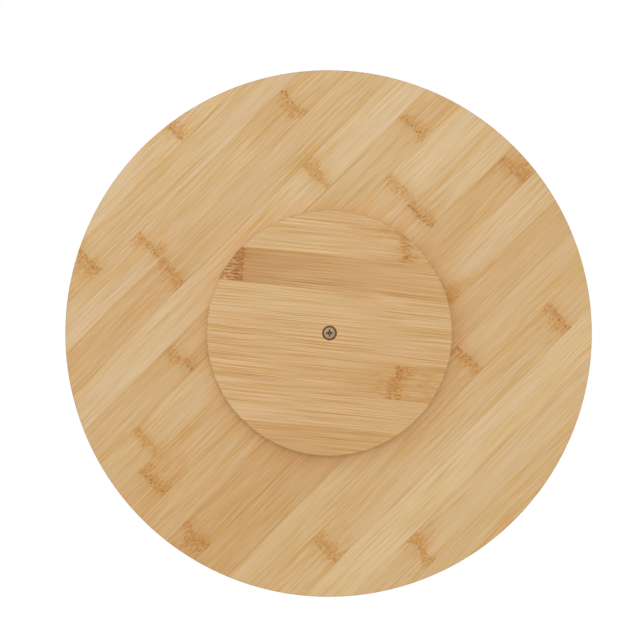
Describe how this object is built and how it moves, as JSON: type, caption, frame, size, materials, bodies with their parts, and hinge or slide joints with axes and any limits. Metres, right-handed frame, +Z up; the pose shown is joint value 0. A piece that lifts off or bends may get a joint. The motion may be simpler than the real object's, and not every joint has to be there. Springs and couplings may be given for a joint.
{
  "type": "lazy susan turntable",
  "caption": "Round laminated bamboo tray that spins on a caged ball race over a smaller round bamboo base, held by a central screw from below.",
  "frame": {"origin": "on the axis of rotation, on the flat surface that the base stands on", "axes": "+Z up along the axis of rotation, +X along the grain of the base's face strips"},
  "size_m": [0.3, 0.3, 0.029],
  "materials": {
    "tray_bamboo": "satin oiled",
    "base_bamboo": "satin oiled",
    "plated_steel": "nickel plated",
    "race_steel": "ground",
    "ball_steel": "polished",
    "nylon": "moulded"
  },
  "bodies": {
    "base": {"base_bush": "nylon", "base_core_ply": "base_bamboo", "base_top_ply": "base_bamboo", "base_underside_strip_01": "base_bamboo", "base_underside_strip_02": "base_bamboo", "base_underside_strip_03": "base_bamboo", "base_underside_strip_04": "base_bamboo", "base_underside_strip_05": "base_bamboo", "base_underside_strip_06": "base_bamboo", "base_underside_strip_07": "base_bamboo", "base_underside_strip_08": "base_bamboo", "lower_race": "race_steel"},
    "tray": {"distance_sleeve": "race_steel", "pivot_screw": "plated_steel", "screw_washer": "plated_steel", "tray_core_ply": "tray_bamboo", "tray_top_strip_01": "tray_bamboo", "tray_top_strip_02": "tray_bamboo", "tray_top_strip_03": "tray_bamboo", "tray_top_strip_04": "tray_bamboo", "tray_top_strip_05": "tray_bamboo", "tray_top_strip_06": "tray_bamboo", "tray_top_strip_07": "tray_bamboo", "tray_top_strip_08": "tray_bamboo", "tray_top_strip_09": "tray_bamboo", "tray_top_strip_10": "tray_bamboo", "tray_top_strip_11": "tray_bamboo", "tray_top_strip_12": "tray_bamboo", "tray_top_strip_13": "tray_bamboo", "tray_top_strip_14": "tray_bamboo", "tray_top_strip_15": "tray_bamboo", "tray_top_strip_16": "tray_bamboo", "tray_underside_strip_01": "tray_bamboo", "tray_underside_strip_02": "tray_bamboo", "tray_underside_strip_03": "tray_bamboo", "tray_underside_strip_04": "tray_bamboo", "tray_underside_strip_05": "tray_bamboo", "tray_underside_strip_06": "tray_bamboo", "tray_underside_strip_07": "tray_bamboo", "tray_underside_strip_08": "tray_bamboo", "tray_underside_strip_09": "tray_bamboo", "tray_underside_strip_10": "tray_bamboo", "tray_underside_strip_11": "tray_bamboo", "tray_underside_strip_12": "tray_bamboo", "tray_underside_strip_13": "tray_bamboo", "tray_underside_strip_14": "tray_bamboo", "tray_underside_strip_15": "tray_bamboo", "tray_underside_strip_16": "tray_bamboo", "upper_race": "race_steel"},
    "cage": {"ball_cage": "nylon", "bearing_balls": "ball_steel"}
  },
  "joints": [
    {"name": "tray_spin", "type": "hinge", "parent": "base", "child": "tray", "pos_m": [0, 0, 0.014], "axis": [0, 0, 1], "continuous": true},
    {"name": "cage_spin", "type": "hinge", "parent": "base", "child": "cage", "pos_m": [0, 0, 0.013], "axis": [0, 0, 1], "continuous": true}
  ],
  "couplings": [
    {"joint": "cage_spin", "follows": "tray_spin", "ratio": 0.5}
  ]
}
